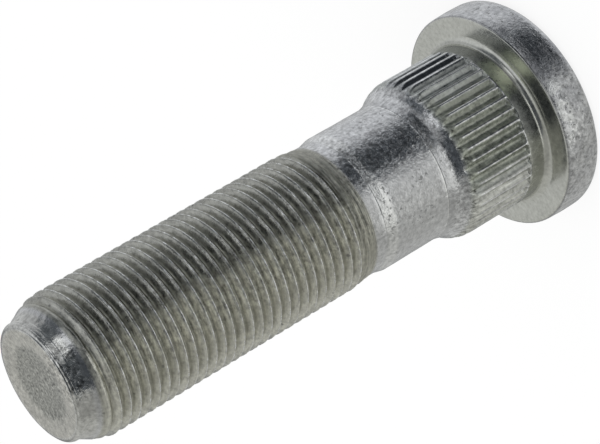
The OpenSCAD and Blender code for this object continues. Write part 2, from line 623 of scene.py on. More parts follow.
@dataclass
class Shank:
    """The serrated shank with its fillet, plain band and shoulder.

    An edge here is a pair of values: where something sets in and where it is complete. The
    land's is in shares of the pitch, the shallow side's in cosines, and the gathering's in
    heights below the end of the serrations.
    """

    places: Places
    fillet: float = 1.0 * MM
    radius: float = 11.65 * MM
    full_h: float = 11.5 * MM
    band_h: float = 3.1 * MM
    dense_below: float = 0.3 * MM
    dense_above: float = 0.6 * MM
    slope: float = 34.0
    taper: float = 13.5
    taper_step: float = 0.5 * MM
    foot_r: float = 4.4 * MM
    crest_r: float = 3.7 * MM
    neck_r: float = 9.925 * MM
    neck_end_z: float = 24.0 * MM
    count: int = 42
    per_groove: int = 8
    groove_share: float = 0.375
    groove_depth: float = 0.66 * MM
    uneven_depth: float = 0.14 * MM
    shallower: float = 0.14 * MM
    shallow_bearing: float = -22.0
    shallow_edge: Point = (0.88, 0.96)
    land_edge: Point = (0.45, 0.4)
    gather_edge: Point = (1.2 * MM, 0.4 * MM)
    flank_slope: float = 1.0
    bluntness: float = 0.17 * MM
    least_half_width: float = 0.06 * MM
    widest: float = 0.46
    end_slope: float = 0.22 * MM
    ragged: float = 0.42 * MM
    wavy: float = 0.5
    waves_per_metre: float = 900.0
    wave_shift: float = 3.7
    fillet_steps: int = 8
    band_steps: int = 3
    dense_steps: int = 10
    land_steps: int = 20
    crest_steps: int = 10
    slope_steps: int = 3
    foot_steps: int = 6
    taper_steps: int = 5
    neck_steps: int = 2
    seed: int = 11

    @property
    def columns(self) -> int:
        """Vertices around the shank."""
        return self.count * self.per_groove

    @property
    def band_z(self) -> float:
        """Height at which the serrations end."""
        return self.places.seat_z + self.band_h

    def shoulder(self) -> list[Point]:
        """Half section from the shank's full diameter up to the neck.

        Returns:
            The shoulder's points.
        """
        lean, ease = math.radians(self.slope), math.radians(self.taper)
        crest_z = self.places.seat_z + self.full_h
        centre = (self.radius - self.crest_r, crest_z)
        crest = arc(centre, self.crest_r, 0, self.slope, self.crest_steps)
        blend = self.foot_r * math.tan((lean - ease) / 2)
        corner_r = self.neck_r + self.taper_step
        corner_z = crest_z + self.crest_r * math.tan(lean / 2)
        corner_z += (self.radius - corner_r) / math.tan(lean)
        foot_centre = (
            corner_r - blend * math.sin(ease) + self.foot_r * math.cos(ease),
            corner_z + blend * math.cos(ease) + self.foot_r * math.sin(ease),
        )
        turns = (180 + self.slope, 180 + self.taper)
        foot = arc(foot_centre, self.foot_r, *turns, self.foot_steps)
        end = (self.neck_r, corner_z + self.taper_step / math.tan(ease))
        slope = straight(crest[-1], foot[0], self.slope_steps)
        return chained(crest, slope, foot, straight(foot[-1], end, self.taper_steps))

    def outline(self) -> list[Point]:
        """Half section from the seat to a place on the neck.

        Returns:
            The outline's points, which lie closer where the serrations end.
        """
        corner = (self.radius + self.fillet, self.places.seat_z + self.fillet)
        fillet = arc(corner, self.fillet, 270, 180, self.fillet_steps)
        low, high = self.band_z - self.dense_below, self.band_z + self.dense_above
        band = straight(fillet[-1], (self.radius, low), self.band_steps)
        dense = straight(band[-1], (self.radius, high), self.dense_steps)
        shoulder = self.shoulder()
        lands = straight(dense[-1], shoulder[0], self.land_steps)
        neck = straight(shoulder[-1], (self.neck_r, self.neck_end_z), self.neck_steps)
        return chained(fillet, band, dense, lands, shoulder, neck)

    def blank(self) -> bpy.types.Object:
        """The turned shank before its serrations are rolled in.

        Returns:
            The object that holds it.
        """
        skin = Skin()
        skin.rings(self.outline(), even_angles(self.columns))
        return linked("shank_blank", skin.stored("shank_blank"))

    def rolled(self, material: bpy.types.Material) -> bpy.types.Mesh:
        """Lays the serrations into the blank.

        Each groove is a blunt V. Its columns of vertices gather between its own edges, so
        that the lands are true, and spread out evenly again on the neck, past the point
        where the groove has run out on the shoulder, and on the plain band.

        Args:
            material: The stud's finish.

        Returns:
            The serrated mesh.
        """
        labels = (
            "count radius groove_share groove_depth uneven_depth shallower flank_slope "
            "bluntness least_half_width widest band_z end_slope ragged wavy seed"
        )
        tree = Modifier("rolled_serrations", self, labels.split())
        sheet, size, place = tree.sheet, tree.size, tree.place()
        z, radius = place.z, place.radius
        pitch = math.tau / size("count")
        turns = place.y.atan2(place.x) / pitch
        number = (turns + 0.5).floor()
        share = turns - number

        chances = {2: -0.5, 3: 0.5, 7: number, 8: size("seed")}
        luck = sheet.wire("FunctionNodeRandomValue", {"data_type": "FLOAT"}, chances, 1)
        chances[8] = size("seed") + 1.0
        other_luck = sheet.wire("FunctionNodeRandomValue", {"data_type": "FLOAT"}, chances, 1)
        along = sheet.join(number * self.wave_shift, z * self.waves_per_metre, size("seed"))
        wave = sheet.wire("ShaderNodeTexNoise", sockets={"Vector": along, "Scale": 1.0}) - 0.5
        start = size("band_z") + size("ragged") * luck
        cut = ((z - start) / size("end_slope")).clamp()
        slant, blunt = size("flank_slope"), size("bluntness")
        floor = size("radius") - size("groove_depth") + size("uneven_depth") * other_luck
        upper = place.toward(self.shallow_bearing).ramp(*self.shallow_edge)
        floor = floor + size("shallower") * upper
        rise = (radius - floor + blunt).most(blunt)
        half_width = (rise * rise - blunt * blunt).sqrt() / slant
        half_width = half_width.most(size("least_half_width")) * (1.0 + wave * size("wavy"))
        half_width = half_width.least(radius * pitch * size("widest"))
        side = half_width * share / size("groove_share")
        groove_x = floor - blunt + (blunt * blunt + (slant * side) * (slant * side)).sqrt()
        groove_r = (side * side + groove_x * groove_x).sqrt()
        in_groove = abs(share).ramp(*self.land_edge)
        own_angle = side.atan2(groove_x) - share * pitch
        gathered = z.ramp(self.neck_end_z, self.shoulder()[-1][1])
        gathered = gathered * z.ramp(*(self.band_z - below for below in self.gather_edge))
        angle = turns * pitch + own_angle * in_groove * gathered
        reach = radius + (groove_r.least(radius) - radius) * in_groove * cut
        moved = tree.moved(tree.size("Geometry"), reach * angle.cos(), reach * angle.sin(), z)
        tree.finish(moved, material)
        return tree.baked(self.blank())


@dataclass
class Thread:
    """The metric fine thread, with its run-out at the relief and at the nose."""

    places: Places
    columns: int
    hand: Hand = Hand.RIGHT
    pitch: float = 1.5 * MM
    depth: float = 0.93 * MM
    crest_share: float = 0.09
    rows_per_pitch: int = 10
    crest_at_x: float = 74.49 * MM
    low_z: float = 35.0 * MM
    high_z: float = 79.6 * MM
    fade_start: float = 35.2 * MM
    fade_end: float = 38.6 * MM
    last_full_z: float = 77.0 * MM
    last_z: float = 78.9 * MM
    relief_end_z: float = 34.644 * MM
    relief_r: float = 9.565 * MM
    full_z: float = 37.644 * MM
    nose_r: float = 8.3 * MM
    nose_z: float = 80.85 * MM
    chamfer: float = 27.5
    lead_step: float = 0.63 * MM
    lead: float = 19.3

    @property
    def crest_r(self) -> float:
        """Radius of the full thread."""
        return self.places.thread_r

    @property
    def climb(self) -> float:
        """Height that a crest gains in one turn."""
        return self.pitch * self.hand.value

    @property
    def below(self) -> int:
        """Pitches from the crest that the photo gives down past the low end."""
        return math.ceil((self.crest_at_x - self.low_z) / self.pitch) + 1

    @property
    def rows(self) -> int:
        """Rows of the sheet that the thread is wound from."""
        above = math.ceil((self.high_z - self.crest_at_x) / self.pitch) + 1
        return (self.below + above) * self.rows_per_pitch

    @property
    def first_crest(self) -> float:
        """Height of the sheet's first crest at +X."""
        return self.crest_at_x - self.below * self.pitch

    @property
    def chamfer_slope(self) -> float:
        """How much the chamfer's radius falls as its height grows."""
        return math.tan(math.radians(self.chamfer))

    @property
    def lead_slope(self) -> float:
        """The same of the gentler lead."""
        return math.tan(math.radians(self.lead))

    @property
    def lead_r(self) -> float:
        """Radius at which the chamfer meets the gentler lead of the first threads."""
        return self.crest_r - self.lead_step

    @property
    def lead_z(self) -> float:
        """Height at which it does."""
        return self.nose_z - (self.lead_r - self.nose_r) / self.chamfer_slope

    def rolled(self, material: bpy.types.Material) -> bpy.types.Mesh:
        """Winds the thread as one sheet whose rows follow the helix.

        A row climbs by one pitch in a turn and meets the row that is one pitch above it,
        so the crest and the root are unbroken lines of edges. Rows that pass the two end
        rings are held at them and weld there.

        Args:
            material: The stud's finish.

        Returns:
            The thread's mesh.
        """
        labels = (
            "rows columns rows_per_pitch climb depth crest_share crest_r first_crest low_z "
            "high_z fade_start fade_end last_full_z last_z relief_end_z relief_r full_z "
            "nose_r nose_z chamfer_slope lead_r lead_z lead_slope"
        )
        tree = Modifier("rolled_thread", self, labels.split())
        sheet, size, place = tree.sheet, tree.size, tree.place()
        counts = {
            "Size X": 1.0,
            "Size Y": 1.0,
            "Vertices X": size("rows") + 1.0,
            "Vertices Y": size("columns") + 1.0,
        }
        grid = sheet.wire("GeometryNodeMeshGrid", sockets=counts)
        row = ((place.x + 0.5) * size("rows") + 0.5).floor()
        turn = ((place.y + 0.5) * size("columns") + 0.5).floor() / size("columns")

        half_rows = size("rows_per_pitch") / 2.0
        crest_half = size("crest_share") / 2.0
        halves = (row / half_rows).floor()
        step = row - halves * half_rows
        flank = (0.5 - size("crest_share")) / (half_rows - 1.0)
        phase = halves / 2.0 + crest_half + step * flank
        raw_z = size("first_crest") + abs(size("climb")) * phase + size("climb") * turn
        z = raw_z.most(size("low_z")).least(size("high_z"))

        from_crest = phase - (phase + 0.5).floor()
        sunk = ((abs(from_crest) - crest_half) / (0.5 - size("crest_share"))).clamp()
        fade = ((z - size("fade_start")) / (size("fade_end") - size("fade_start"))).clamp()
        left = ((size("last_z") - z) / (size("last_z") - size("last_full_z"))).clamp()
        rise = (z - size("relief_end_z")) / (size("full_z") - size("relief_end_z"))
        crest = size("relief_r") + rise.clamp() * (size("crest_r") - size("relief_r"))
        cone = size("nose_r") + (size("nose_z") - z) * size("chamfer_slope")
        lead = size("lead_r") + (size("lead_z") - z) * size("lead_slope")
        radius = (crest.least(lead) - size("depth") * fade * left * sunk).least(cone)
        angle = turn * math.tau
        moved = tree.moved(grid, radius * angle.cos(), radius * angle.sin(), z)
        sockets = {"Geometry": moved, "Distance": WELD}
        tree.finish(sheet.wire("GeometryNodeMergeByDistance", sockets=sockets), material)
        return tree.baked(linked("thread_start", bpy.data.meshes.new("thread_start")))

    def crest_radius(self, z: float) -> float:
        """Outer radius of the threaded end, thread or no thread.

        Args:
            z: The height.

        Returns:
            The radius at that height.
        """
        rise = (z - self.relief_end_z) / (self.full_z - self.relief_end_z)
        crest = self.relief_r + min(max(rise, 0), 1) * (self.crest_r - self.relief_r)
        cone = self.nose_r + (self.nose_z - z) * self.chamfer_slope
        lead = self.lead_r + (self.lead_z - z) * self.lead_slope
        return min(crest, cone, lead)


@dataclass
class Neck:
    """The plain neck and the relief between it and the thread."""

    shank: Shank
    thread: Thread
    end_z: float = 31.8 * MM
    relief_slope: float = 14.0
    plain_steps: int = 10
    wall_steps: int = 6
    floor_steps: int = 4
    rise_steps: int = 2

    def outline(self) -> list[Point]:
        """Half section from the serrated shank's last ring to the thread's first.

        Returns:
            The outline's points.
        """
        neck_r, relief_r, last_z = self.shank.neck_r, self.thread.relief_r, self.thread.low_z
        wall_z = self.end_z + (neck_r - relief_r) / math.tan(math.radians(self.relief_slope))
        start = (neck_r, self.shank.neck_end_z)
        plain = straight(start, (neck_r, self.end_z), self.plain_steps)
        wall = straight(plain[-1], (relief_r, wall_z), self.wall_steps)
        floor = straight(wall[-1], (relief_r, self.thread.relief_end_z), self.floor_steps)
        last = (self.thread.crest_radius(last_z), last_z)
        rise = straight(floor[-1], last, self.rise_steps)
        return chained(plain, wall, floor, rise)


@dataclass
class Nose:
    """The nose: lead chamfer, short cylinder, rounded edge and an off-centre dish."""

    places: Places
    thread: Thread
    edge_r: float = 0.6 * MM
    ring: float = 1.05 * MM
    dish_depth: float = 0.45 * MM
    dish_shift: float = 0.55 * MM
    dish_bearing: float = 46.0
    chamfer_steps: int = 6
    side_steps: int = 4
    edge_steps: int = 8
    dish_steps: int = 12

    @property
    def dish_r(self) -> float:
        """Radius of the dish's rim."""
        return self.thread.nose_r - self.edge_r - self.ring

    def outline(self) -> list[Point]:
        """Half section from the thread's last ring to the flat of the end face.

        Returns:
            The outline's points.
        """
        nose_r, edge_z = self.thread.nose_r, self.places.tip_z - self.edge_r
        start = (self.thread.crest_radius(self.thread.high_z), self.thread.high_z)
        chamfer = straight(start, (nose_r, self.thread.nose_z), self.chamfer_steps)
        side = straight(chamfer[-1], (nose_r, edge_z), self.side_steps)
        edge = arc((nose_r - self.edge_r, edge_z), self.edge_r, 0, 90, self.edge_steps)
        return chained(chamfer, side, edge)

    def dish(self) -> list[Point]:
        """Half section of the dish.

        Returns:
            Its points, from its rim to near its middle.
        """
        ball_r = (self.dish_r**2 + self.dish_depth**2) / (2 * self.dish_depth)
        centre = (0.0, self.places.tip_z - self.dish_depth + ball_r)
        start = math.degrees(math.asin(self.dish_r / ball_r)) - 90
        return arc(centre, ball_r, start, -90, self.dish_steps)[:-1]

    def build(self, skin: Skin, angles: Sequence[float]) -> None:
        """Adds the nose to the skin.

        Args:
            skin: The stud's skin.
            angles: The angles of a ring's vertices.
        """
        last = skin.rings(self.outline(), angles)[-1]
        bearing = math.radians(self.dish_bearing)
        shift = (self.dish_shift * math.cos(bearing), self.dish_shift * math.sin(bearing))
        for point in self.dish():
            here = skin.ring(point, angles, shift)
            skin.bridge(last, here)
            last = here
        skin.cap(last, self.places.tip_z - self.dish_depth, upward=True)


@dataclass(frozen=True)
class Forging:
    """How uneven the surfaces are that no rolling or turning has trued."""

    rim_lumps: float = 0.02 * MM
    nose_lumps: float = 0.05 * MM
    neck_lumps: float = 0.03 * MM
    thread_wear: float = 0.07 * MM
    lumps_per_metre: float = 420.0
    nicks_per_metre: float = 1500.0
    lump_edge: Point = (0.3, 0.7)
    nick_edge: Point = (0.4, 0.75)
    seed: int = 3
    rim: Stretch = Stretch(0.6, 5.4, 0.6, (14.6, 15.4))
    neck: Stretch = Stretch(22.5, 31.0, 1.2)
    nose: Stretch = Stretch(79.8, 81.7, 1.2, (7.5, 8.1))
    thread: Stretch = Stretch(36.0, 80.0, 0.8)

    def worn(self, source: bpy.types.Mesh, material: bpy.types.Material) -> bpy.types.Mesh:
        """Sinks the forged stretches by a little noise, never past the true surface.

        Args:
            source: The stud as it would be if it were perfect.
            material: The stud's finish.

        Returns:
            The uneven stud.
        """
        labels = (
            "rim_lumps nose_lumps neck_lumps thread_wear lumps_per_metre nicks_per_metre seed"
        )
        tree = Modifier("forged_surface", self, labels.split())
        sheet, size, place = tree.sheet, tree.size, tree.place()
        depth = (
            self.rim.mask(place) * size("rim_lumps")
            + self.neck.mask(place) * size("neck_lumps")
            + self.nose.mask(place) * size("nose_lumps")
        )
        settings = {"noise_dimensions": "4D"}
        sockets = {"Vector": place.vector, "W": size("seed"), "Scale": size("lumps_per_metre")}
        lumps = sheet.wire("ShaderNodeTexNoise", settings, sockets).ramp(*self.lump_edge)
        sockets["Scale"] = size("nicks_per_metre")
        nicks = sheet.wire("ShaderNodeTexNoise", settings, sockets).ramp(*self.nick_edge)
        sunk = depth * lumps + self.thread.mask(place) * size("thread_wear") * nicks
        share = 1.0 - sunk / place.radius.most(MM)
        moved = tree.moved(tree.size("Geometry"), place.x * share, place.y * share, place.z)
        tree.finish(moved, material)
        mesh = tree.baked(linked("stud_blank", source))
        bpy.data.meshes.remove(source)
        return mesh


@dataclass(frozen=True)
class Sector:
    """A side of the stud, in degrees: its middle from +X, half its width and its fade.

    Its edge wanders by some noise, as a share of the fade.
    """

    bearing: float
    half_width: float
    soft: float
    uneven: float = 1.5
    patches_per_mm: float = 0.35

    def mask(self, spot: "Spot") -> Wire:
        """Mask of the side.

        Args:
            spot: The shaded point.

        Returns:
            The mask, with an uneven edge.
        """
        far = math.cos(math.radians(self.half_width + self.soft / 2))
        near = math.cos(math.radians(self.half_width - self.soft / 2))
        edge = spot.noise(self.patches_per_mm) * (near - far) * self.uneven
        return (spot.toward(self.bearing) + edge).ramp(far, near)


class Zone(Enum):
    """The stretches that the finish tells apart."""

    RIM = Stretch(0, 5.8, 0.2, (15.0, 15.3))
    RIM_EDGE = Stretch(3.9, 5.8, 0.6)
    SEAT = Stretch(5.92, 8.9, 0.12, (15.5, 15.35))
    BAND = Stretch(7.0, 9.0, 0.15, (11.9, 11.75))
    SERRATED = Stretch(9.15, 18.9, 0.9)
    GROOVES = Stretch(9.15, 18.9, 0.9, (11.64, 11.5))
    GROOVE_ENDS = Stretch(9.15, 9.8, 0.15)
    LANDS = Stretch(9.1, 17.4, 0.1)
    SHOULDER_TOP = Stretch(18.9, 20.6, 0.3)
    SHOULDER = Stretch(18.8, 21.4, 0.5)
    TAPER = Stretch(21.3, 22.3, 0.3)
    FOOT_RING = Stretch(22.5, 22.62, 0.06)
    STEM = Stretch(18.6, 34.5, 0.6)
    NECK = Stretch(22.0, 35.0, 0.6)
    RELIEF = Stretch(31.6, 32.9, 0.4)
    RUN_OUT = Stretch(35.1, 37.0, 0.6)
    THREAD = Stretch(35.3, 78.7, 0.7)
    NOSE = Stretch(80.2, 83.0, 1.0)
    END = Stretch(81.5, 83.0, 0.15)
    END_FACE = Stretch(81.5, 83.0, 0.15, (7.7, 7.3))
    SPECKLED = Stretch(9.0, 81.0, 0.3)
    PITTED_RIM = Stretch(0.8, 5.4, 0.4)
    PITTED_NECK = Stretch(22.6, 33.0, 0.5)
    ROLLED = Stretch(9.1, 18.0, 0.5)
    SMOOTH_SHOULDER = Stretch(17.0, 21.6, 0.6)
    ROUGH_NECK = Stretch(22.0, 34.0, 0.6)
    TURNED = Stretch(34.9, 37.6, 0.2)


class Side(Enum):
    """The sides of the stud that the finish tells apart; on several of them light and shade are
    painted in.
    """

    # Where lighter flecks lie along the rim's edge.
    LIGHT_FLECK_RIM_SIDE = Sector(-104.0, 15.0, 8.0)
    # Where the rim is darker.
    DARKER_RIM_SIDE = Sector(-79.0, 8.0, 10.0)
    RUBBED = Sector(-95.0, 26.0, 12.0)
    # The thread's lower side: a matt, patinated surface with painted light that makes it lighter
    # and warmer.
    PATINA_AND_PAINTED_LIGHT_SIDE = Sector(-131.0, 42.0, 12.0)
    # The front grooves: a green-brown tint, darkened further as painted shade.
    OLIVE_AND_PAINTED_SHADE_SIDE = Sector(-94.0, 34.0, 14.0)
    # The lower grooves, lightened as painted light.
    PAINTED_LIGHT_GROOVE_SIDE = Sector(-157.0, 24.0, 14.0)
    # The upper grooves, darkened as painted shade in two sectors.
    PAINTED_SHADE_GROOVE_SIDE = Sector(-32.5, 6.0, 5.0)
    PAINTED_SHADE_GROOVE_EDGE = Sector(-20.0, 5.0, 4.0)
    # Sides of the plain band that carry a painted flare and a painted sheen.
    FLARE = Sector(-67.0, 11.0, 18.0)
    SHEEN = Sector(-138.0, 22.0, 20.0)
    UPPER = Sector(-30.0, 30.0, 20.0)
    FRONT = Sector(-95.0, 24.0, 20.0)
    LOWER = Sector(-137.0, 22.0, 20.0)
    DARK = Sector(-68.0, 14.0, 12.0)
    ROUGH = Sector(-68.0, 12.0, 12.0)


class Spot(Place):
    """Where a shaded point lies, in millimetres, with the patterns of its material."""

    roughness: float = 0.6
    bends_per_mm: float = 2.6
    bend_mm: float = 0.35

    def __init__(self, sheet: NodeSheet) -> None:
        """Reads the point's place."""
        vector = sheet.scaled(sheet.wire("ShaderNodeTexCoord", output="Object"), 1 / MM)
        super().__init__(sheet, vector, 1.0)

    @functools.cache
    def mask(self, part: Stretch | Sector) -> Wire:
        """Mask of one stretch or side, whose nodes are made only once."""
        return part.mask(self)

    def on(self, *parts: Zone | Side) -> Wire:
        """Mask of where all these zones and sides meet."""
        return functools.reduce(operator.mul, [self.mask(part.value) for part in parts])

    @functools.cache
    def noise(self, scale: float, detail: float = 2.0, stretch: float = 1.0) -> Wire:
        """Noise around 0, whose nodes are made only once.

        Args:
            scale: Bumps per millimetre.
            detail: How many finer layers are added.
            stretch: How many times closer the bumps lie along the stud than around it.

        Returns:
            The noise.
        """
        place = self.sheet.join(self.x, self.y, self.z * stretch)
        sockets = {"Vector": place, "Scale": scale, "Detail": detail, "Roughness": self.roughness}
        return self.sheet.wire("ShaderNodeTexNoise", sockets=sockets) - 0.5

    def specks(self, scale: float, share: float, size: float) -> Wire:
        """Small scattered specks with bent outlines.

        Args:
            scale: Cells per millimetre.
            share: How many of the cells hold a speck.
            size: A speck's radius as a share of its cell.

        Returns:
            A mask that is 1 in the middle of each speck.
        """
        sockets = {"Vector": self.vector, "Scale": self.bends_per_mm}
        bend = self.sheet.wire("ShaderNodeTexNoise", sockets=sockets, output="Color")
        sockets = {0: self.vector, 1: self.sheet.scaled(bend, self.bend_mm)}
        bent = self.sheet.wire("ShaderNodeVectorMath", {"operation": "ADD"}, sockets)
        sockets = {"Vector": bent, "Scale": scale}
        cells = self.sheet.node("ShaderNodeTexVoronoi", sockets=sockets)
        chance, _, _ = self.sheet.split(Wire(self.sheet, cells.outputs["Color"]))
        near = Wire(self.sheet, cells.outputs["Distance"]).ramp(size, size * 0.4)
        return near * chance.ramp(share, share * 0.8)


@dataclass(frozen=True)
class Look:
    """Colour and roughness of one kind of surface."""

    colour: Colour
    rough: float


@dataclass(frozen=True)
class Zinc:
    """Zinc plating: bright where it is smooth, dull and patinated on the thread, with light and
    shade painted into some sides and hollows.
    """

    name: str = "zinc_plating"
    clean: Look = Look((0.60, 0.605, 0.61, 1.0), 0.17)
    tarnish: Look = Look((0.40, 0.405, 0.42, 1.0), 0.24)
    # The thread: its flanks are darkened as painted shade, and its lower side, in the next look, is
    # lighter and warmer as painted light over a matt, patinated surface.
    flank: Look = Look((0.43, 0.43, 0.395, 1.0), 0.28)
    patina_and_painted_light: Look = Look((0.655, 0.65, 0.585, 1.0), 0.44)
    # Painted shade at the root of the thread and over its run-out.
    root: Look = Look((0.37, 0.365, 0.31, 1.0), 0.46)
    groove: Look = Look((0.49, 0.51, 0.49, 1.0), 0.34)
    # Front grooves: a green-brown tint, darkened further as painted shade.
    olive_and_painted_shade: Look = Look((0.405, 0.425, 0.37, 1.0), 0.48)
    # Lower grooves, lightened as painted light.
    pale: Look = Look((0.58, 0.585, 0.545, 1.0), 0.33)
    seat: Look = Look((0.60, 0.605, 0.56, 1.0), 0.21)
    # The plain band: dark all round as painted shade, with a painted flare and a painted sheen on
    # two of its sides.
    band: Look = Look((0.29, 0.30, 0.285, 1.0), 0.27)
    band_flare: Look = Look((0.70, 0.745, 0.575, 1.0), 0.32)
    band_painted_sheen: Look = Look((0.51, 0.52, 0.475, 1.0), 0.24)
    nose: Look = Look((0.61, 0.61, 0.585, 1.0), 0.15)
    vein: Look = Look((0.72, 0.73, 0.73, 1.0), 0.42)
    # Light flecks: painted highlight flecks at the serrations' ragged ends, and lighter flecks
    # along one side of the rim's edge.
    light_fleck: Look = Look((0.80, 0.81, 0.80, 1.0), 0.36)
    # Painted highlight: a lighter ring on the relief's wall and a thin light ring at the foot of
    # the shoulder.
    painted_ring_highlight: Look = Look((0.71, 0.715, 0.71, 1.0), 0.17)
    # The taper, darkened a little as painted shade.
    taper: Look = Look((0.54, 0.545, 0.55, 1.0), 0.18)
    # Upper grooves, darkened as painted shade.
    groove_painted_shade: Look = Look((0.33, 0.34, 0.35, 1.0), 0.13)
    end_face: Look = Look((0.555, 0.545, 0.50, 1.0), 0.30)
    dish: Look = Look((0.37, 0.37, 0.34, 1.0), 0.34)
    # Painted highlight: the thin bright lines along the thread's crests and the serrations' lands.
    edge: Look = Look((0.80, 0.81, 0.80, 1.0), 0.22)
    speck: Look = Look((0.20, 0.20, 0.19, 1.0), 0.50)
    rough_limits: Point = (0.06, 0.8)
    dish_centre: Point = (-0.1, -0.1)
    dish_edge: Point = (5.8, 4.6)
    turning_pitch: float = 0.5
    clusters: tuple[tuple[Stretch, Sector], ...] = (
        (Stretch(30.8, 32.4, 0.4), Sector(-107.0, 19.0, 6.0)),
        (Stretch(24.0, 29.4, 0.4), Sector(-127.0, 5.0, 6.0)),
        (Stretch(23.2, 28.2, 0.4), Sector(-36.0, 6.0, 6.0)),
        (Stretch(24.6, 27.2, 0.4), Sector(-98.0, 7.0, 6.0)),
        (Stretch(1.4, 4.6, 0.4), Sector(-111.0, 26.0, 6.0)),
        (Stretch(1.4, 4.4, 0.4), Sector(-38.0, 16.0, 6.0)),
    )

    def masks(self, spot: Spot, pits: Wire) -> list[tuple[Wire, Look]]:
        """Where each look lies over the clean plating.

        Args:
            spot: The shaded point.
            pits: Mask of the small pits.

        Returns:
            The masks with their looks, in the order of laying.
        """
        on, noise, radius = spot.on, spot.noise, spot.radius
        rim, thread = on(Zone.RIM), on(Zone.THREAD)
        uneven = noise(1.1)
        broken = (noise(1.4, 3.0) * 5.0 + 0.65).clamp()
        # The crests and the lands are lit up as painted highlight lines.
        crest = thread * (radius + uneven * 0.14).ramp(9.945, 9.985) * broken
        land = on(Zone.LANDS) * (radius + uneven * 0.16).ramp(11.6, 11.645) * broken
        # The thread's root, darkened as painted shade.
        shaded_roots = thread * (radius + uneven * 0.3).ramp(9.5, 9.1)
        forged = rim.most(on(Zone.STEM)).most(spot.z.ramp(79.0, 80.0))
        blotch = (noise(0.55, 4.0) * 5.0 + 0.4).clamp()
        veins = abs(noise(0.9, 4.0)).ramp(0.012, 0.0)
        # Lighter flecks along the rim's edge on one side.
        worn = on(Zone.RIM_EDGE, Side.LIGHT_FLECK_RIM_SIDE) * (noise(0.8, 4.0) * 22.0 + 0.6).clamp()
        rubbed = noise(3.2, 3.0).ramp(0.04, 0.14)
        return [
            (rim * blotch * 0.6, self.tarnish),
            # The rim, darker on one side.
            (on(Zone.RIM, Side.DARKER_RIM_SIDE), self.tarnish),
            # Lighter flecks along the rim's edge on one side.
            (rim * worn * 0.85, self.light_fleck),
            (forged * veins * 0.35, self.vein),
            # Painted highlight ring on the relief's wall.
            (on(Zone.RELIEF), self.painted_ring_highlight),
            # The taper, darkened a little as painted shade.
            (on(Zone.TAPER), self.taper),
            # Painted highlight, a thin light ring at the foot of the shoulder.
            (on(Zone.FOOT_RING), self.painted_ring_highlight),
            (on(Zone.SHOULDER_TOP) * rubbed * 0.4, self.vein),
            (on(Zone.NOSE), self.nose),
            (on(Zone.NOSE, Side.RUBBED) * rubbed * 0.5, self.vein),
            # The thread's flanks, darkened as painted shade, and its lower side, lightened and
            # warmed as painted light over a matt, patinated surface.
            (thread, self.flank),
            (on(Zone.THREAD, Side.PATINA_AND_PAINTED_LIGHT_SIDE), self.patina_and_painted_light),
            # Painted shade at the thread's root, and at half strength over its run-out.
            (shaded_roots * 0.7, self.root),
            (on(Zone.RUN_OUT) * 0.5, self.root),
            (on(Zone.GROOVES), self.groove),
            # Front grooves: a green-brown tint, darkened further as painted shade.
            (on(Zone.GROOVES, Side.OLIVE_AND_PAINTED_SHADE_SIDE), self.olive_and_painted_shade),
            # Lower grooves, lightened as painted light.
            (on(Zone.GROOVES, Side.PAINTED_LIGHT_GROOVE_SIDE), self.pale),
            # Upper grooves, darkened as painted shade in two sectors.
            (on(Zone.GROOVES, Side.PAINTED_SHADE_GROOVE_SIDE), self.groove_painted_shade),
            (on(Zone.GROOVES, Side.PAINTED_SHADE_GROOVE_EDGE), self.groove_painted_shade),
            (on(Zone.SEAT), self.seat),
            # The plain band: dark all round as painted shade, with a painted flare and a painted
            # sheen on two of its sides.
            (on(Zone.BAND), self.band),
            (on(Zone.BAND, Side.FLARE), self.band_flare),
            (on(Zone.BAND, Side.SHEEN), self.band_painted_sheen),
            (on(Zone.END_FACE), self.end_face),
            (self.dished(spot), self.dish),
            # Painted highlight flecks at the serrations' ragged ends.
            (on(Zone.GROOVE_ENDS) * rubbed * 0.7, self.light_fleck),
            # Painted highlight lines along the crests and the lands.
            (crest.most(land), self.edge),
            (spot.specks(0.9, 0.06, 0.3) * on(Zone.SPECKLED) * 0.7, self.speck),
            (pits * 0.52, self.speck),
        ]

    def dished(self, spot: Spot) -> Wire:
        """Mask of the dull middle of the end face.

        Args:
            spot: The shaded point.

        Returns:
            The mask, with an uneven edge.
        """
        x, y = spot.x - self.dish_centre[0], spot.y - self.dish_centre[1]
        distance = (x * x + y * y).sqrt() + spot.noise(1.1) * 1.5
        return spot.on(Zone.END) * distance.ramp(*self.dish_edge)

    def pits(self, spot: Spot) -> Wire:
        """Mask of the small pits, most of which lie in clusters on the neck and the rim.

        Args:
            spot: The shaded point.

        Returns:
            The mask.
        """
        scattered = spot.on(Zone.PITTED_NECK).most(spot.on(Zone.PITTED_RIM))
        mask = scattered * spot.specks(1.3, 0.05, 0.30)
        blots = spot.noise(1.7, 4.0).ramp(0.09, 0.17)
        for stretch, sector in self.clusters:
            mask = mask.most(spot.mask(stretch) * spot.mask(sector) * blots)
        return mask

    def mottling(self, spot: Spot) -> Wire:
        """How strongly the fine mottle of light and dark shows.

        Args:
            spot: The shaded point.

        Returns:
            The strength, from about 1 upwards.
        """
        on = spot.on
        front, lower = on(Side.FRONT), on(Side.LOWER)
        depth = 0.9 + on(Zone.NECK) * (on(Side.UPPER) + lower * 0.3 + on(Side.DARK) * 2.2)
        depth = depth + on(Zone.RIM) * (0.5 + front * 0.6 + lower * 0.7)
        depth = depth + on(Zone.SERRATED) * (0.3 + front * 1.3)
        depth = depth + on(Zone.NOSE) * (0.5 + front * 2.0) + on(Zone.SHOULDER) * 1.5
        return depth + on(Zone.THREAD, Side.FRONT) * 0.9 - on(Zone.SEAT) * 0.2

